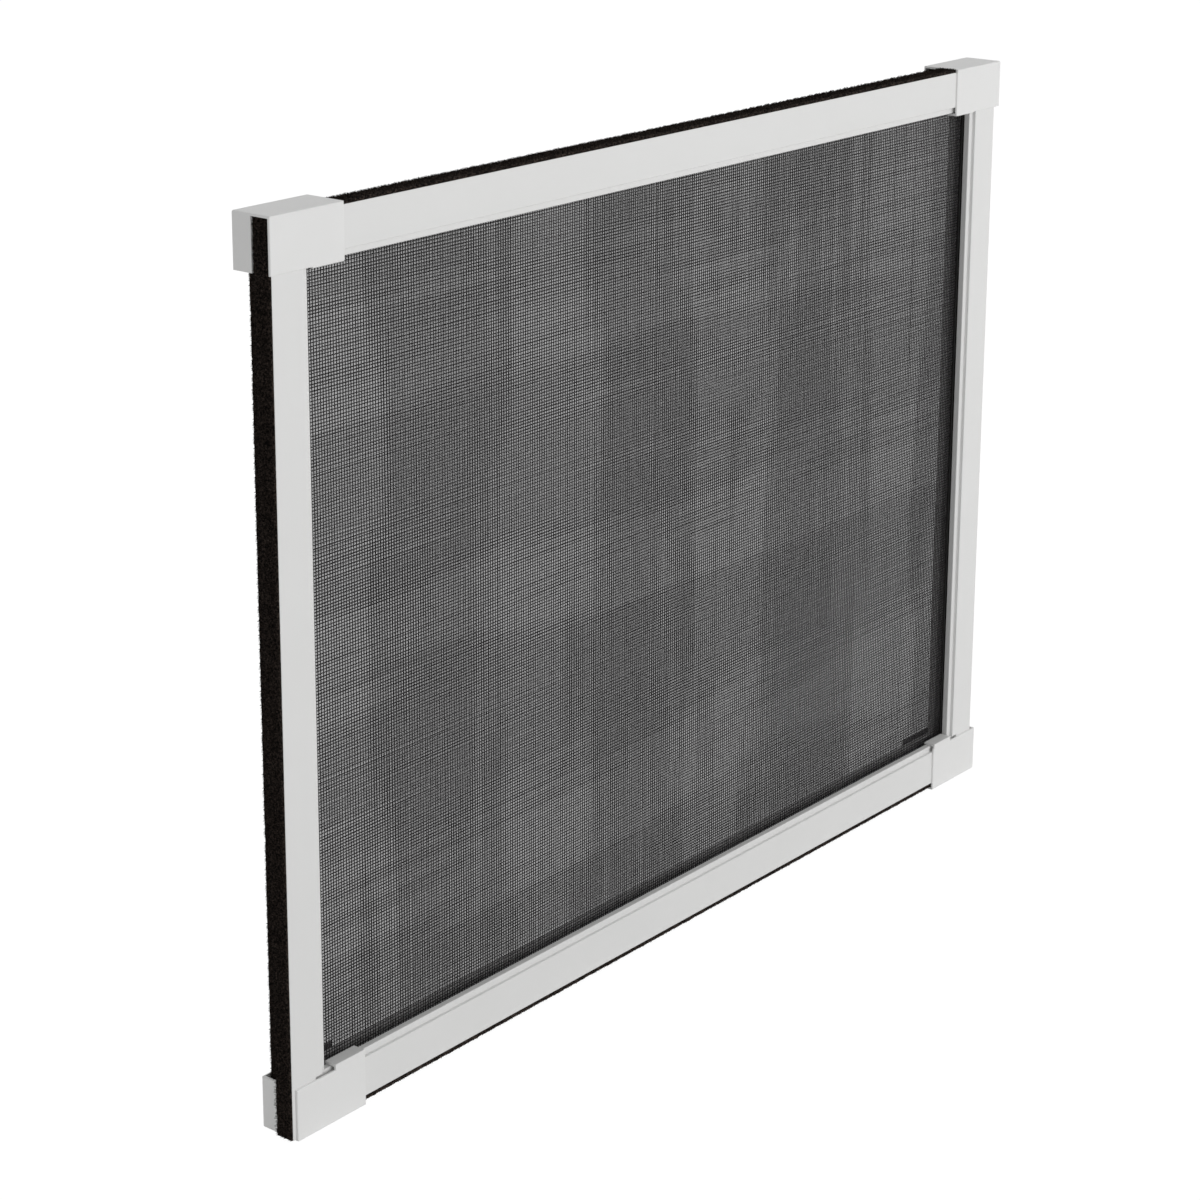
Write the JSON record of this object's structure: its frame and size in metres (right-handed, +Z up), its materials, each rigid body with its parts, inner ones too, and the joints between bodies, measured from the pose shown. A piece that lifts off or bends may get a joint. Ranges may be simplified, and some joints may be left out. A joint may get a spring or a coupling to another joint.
{
  "type": "window screen frame",
  "caption": "Low landscape window insect screen of white hollow bars with moulded corner blocks, black edge pile and charcoal mesh; a second panel behind slides out sideways to widen it",
  "frame": {"origin": "Middle of the underside of the closed screen, halfway through its depth", "axes": "+X along the rails to the right, seen from the front; +Y to the back; +Z up"},
  "size_m": [0.5294, 0.0204, 0.39],
  "materials": {
    "white_bar": "satin white coating on thin extrusions",
    "white_block": "plain white moulding with soft edges",
    "black_pile": "dense short brush fibre",
    "black_spline": "plain round cord",
    "charcoal_mesh": "coated glass fibre yarn, plain weave"
  },
  "bodies": {
    "main_frame": {"left_stile": "white_bar", "right_stile": "white_bar", "top_rail": "white_bar", "bottom_rail": "white_bar", "corner_top_left": "white_block", "corner_bottom_left": "white_block", "corner_top_right": "white_block", "corner_bottom_right": "white_block", "left_pile": "black_pile", "top_pile": "black_pile", "bottom_pile": "black_pile", "left_spline": "black_spline", "right_spline": "black_spline", "top_spline": "black_spline", "bottom_spline": "black_spline", "insect_mesh": "charcoal_mesh"},
    "slide_panel": {"rear_left_stile": "white_bar", "rear_right_stile": "white_bar", "rear_top_rail": "white_bar", "rear_bottom_rail": "white_bar", "rear_corner_keys": "white_block", "rear_left_pile": "black_pile", "rear_right_pile": "black_pile", "rear_top_pile": "black_pile", "rear_bottom_pile": "black_pile", "rear_left_spline": "black_spline", "rear_right_spline": "black_spline", "rear_top_spline": "black_spline", "rear_bottom_spline": "black_spline", "rear_mesh": "charcoal_mesh"}
  },
  "joints": [
    {"name": "panel_slide", "type": "slide", "parent": "main_frame", "child": "slide_panel", "axis": [1, 0, 0], "range_m": [0, 0.4]}
  ]
}
